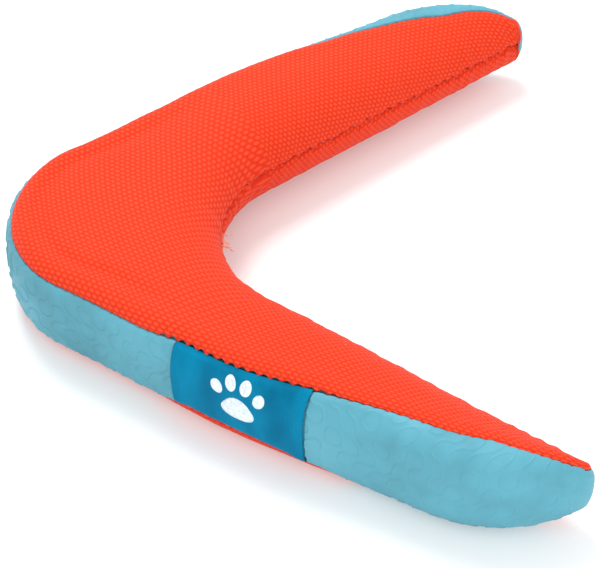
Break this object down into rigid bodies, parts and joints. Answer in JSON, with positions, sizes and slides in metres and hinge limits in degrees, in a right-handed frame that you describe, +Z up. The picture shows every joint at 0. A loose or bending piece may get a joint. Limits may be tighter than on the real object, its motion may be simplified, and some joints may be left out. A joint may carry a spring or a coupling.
{
  "type": "padded fetch boomerang",
  "caption": "V-shaped padded dog toy with a foam core, coarse orange fabric covers and a blue rubber edge round its outer side and tips.",
  "frame": {"origin": "bottom centre of the toy's box, on the surface it rests on", "axes": "+X from the outer corner of the V toward its open side, +Y across the arms to the arm without a label, +Z up from the surface it rests on"},
  "size_m": [0.2112, 0.2596, 0.044],
  "materials": {
    "foam": "soft closed-cell foam, hidden",
    "rubber_blue": "matte moulded rubber with thin raised lines",
    "fabric_orange": "coarse woven synthetic fabric",
    "fabric_teal": "smooth fine woven band",
    "print_white": "matte white print",
    "thread_orange": "polyester sewing thread",
    "thread_pale": "frayed fabric threads"
  },
  "bodies": {
    "root": {"foam_core": "foam", "rubber_edge": "rubber_blue", "top_cover": "fabric_orange", "bottom_cover": "fabric_orange", "label_band": "fabric_teal", "label_print": "print_white", "top_edge_stitches": "thread_orange", "bottom_edge_stitches": "thread_orange", "closing_stitches": "thread_orange", "crotch_threads": "thread_pale"}
  },
  "joints": []
}
